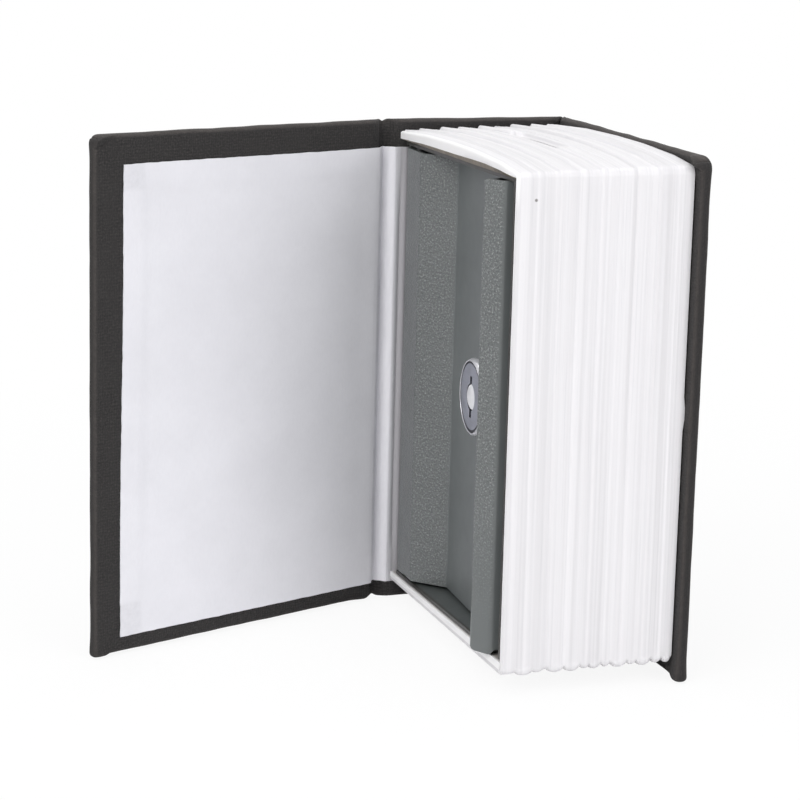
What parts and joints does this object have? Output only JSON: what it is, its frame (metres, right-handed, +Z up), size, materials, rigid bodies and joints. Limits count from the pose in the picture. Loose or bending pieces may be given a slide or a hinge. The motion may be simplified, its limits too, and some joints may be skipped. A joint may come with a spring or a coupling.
{
  "type": "book diversion safe",
  "caption": "Small book-shaped safe: hinged cloth cover and spine on a ridged page block that hides a steel box with a keyed, recessed door and a coin slot.",
  "frame": {"origin": "middle of the back cover's bottom edge, on the surface that the book stands on", "axes": "+Z up along the book's height, +X from the spine to the fore-edge, +Y from the front of the page block to the back cover"},
  "size_m": [0.0806, 0.1222, 0.115],
  "materials": {
    "cloth": "dark charcoal book cloth, fine grain, matte",
    "board": "grey-brown binder's board, covered all round",
    "paper": "cool white endpaper, matte",
    "page_plastic": "white moulded plastic, satin, ridged like page edges",
    "grey_paint": "grey-green satin paint with a pebbled surface",
    "plated_metal": "blue-grey plated, satin",
    "bright_metal": "bright plated, polished",
    "brass": "bare stamped brass, satin"
  },
  "bodies": {
    "case": {"back_cover_board": "board", "back_cover_wrap": "cloth", "back_endpaper": "paper", "back_joint_cloth": "cloth", "back_joint_paper": "paper", "page_shell": "page_plastic", "box_body": "grey_paint", "strike_bracket": "grey_paint"},
    "spine": {"spine_board": "board", "spine_wrap": "cloth", "spine_lining": "paper", "front_joint_cloth": "cloth", "front_joint_paper": "paper"},
    "front_cover": {"front_cover_board": "board", "front_cover_wrap": "cloth", "front_endpaper": "paper"},
    "door": {"door_panel": "grey_paint", "hinge_pin_top": "bright_metal", "hinge_pin_bottom": "bright_metal", "lock_body": "plated_metal", "lock_nut": "plated_metal"},
    "plug": {"lock_plug": "plated_metal", "shutter_pin": "bright_metal", "shutter_spring": "bright_metal", "wafer_spring_1": "bright_metal", "wafer_spring_2": "bright_metal", "wafer_spring_3": "bright_metal", "wafer_spring_4": "bright_metal", "cam": "plated_metal", "cam_washer": "bright_metal", "cam_screw": "bright_metal"},
    "shutter": {"key_shutter": "bright_metal"},
    "wafer_1": {"wafer_1": "brass"},
    "wafer_2": {"wafer_2": "brass"},
    "wafer_3": {"wafer_3": "brass"},
    "wafer_4": {"wafer_4": "brass"}
  },
  "joints": [
    {"name": "spine_swing", "type": "hinge", "parent": "case", "child": "spine", "pos_m": [-0.04, 0.00125, 0], "axis": [0, 0, -1], "range_deg": [0, 85]},
    {"name": "cover_swing", "type": "hinge", "parent": "spine", "child": "front_cover", "pos_m": [-0.04, -0.04485, 0], "axis": [0, 0, -1], "range_deg": [-66.2, 111]},
    {"name": "door_swing", "type": "hinge", "parent": "case", "child": "door", "pos_m": [-0.0303, -0.03855, 0], "axis": [0, 0, -1], "range_deg": [-4, 68]},
    {"name": "plug_turn", "type": "hinge", "parent": "door", "child": "plug", "pos_m": [0.00621, -0.03669, 0.0584], "axis": [0.0698, 0.9976, 0], "range_deg": [0, 90]},
    {"name": "shutter_swing", "type": "hinge", "parent": "plug", "child": "shutter", "pos_m": [0.0034, -0.03614, 0.0584], "axis": [0, 0, 1], "range_deg": [0, 85], "stiffness_Nm_per_rad": 0.0002},
    {"name": "wafer_1_slide", "type": "slide", "parent": "plug", "child": "wafer_1", "axis": [0, 0, 1], "range_m": [0, 0.0007], "deforming": ["wafer_spring_1"]},
    {"name": "wafer_2_slide", "type": "slide", "parent": "plug", "child": "wafer_2", "axis": [0, 0, 1], "range_m": [0, 0.0007], "deforming": ["wafer_spring_2"]},
    {"name": "wafer_3_slide", "type": "slide", "parent": "plug", "child": "wafer_3", "axis": [0, 0, 1], "range_m": [0, 0.0007], "deforming": ["wafer_spring_3"]},
    {"name": "wafer_4_slide", "type": "slide", "parent": "plug", "child": "wafer_4", "axis": [0, 0, 1], "range_m": [0, 0.0007], "deforming": ["wafer_spring_4"]}
  ],
  "couplings": [
    {"joint": "wafer_2_slide", "follows": "wafer_1_slide", "ratio": 1},
    {"joint": "wafer_3_slide", "follows": "wafer_1_slide", "ratio": 1},
    {"joint": "wafer_4_slide", "follows": "wafer_1_slide", "ratio": 1}
  ]
}
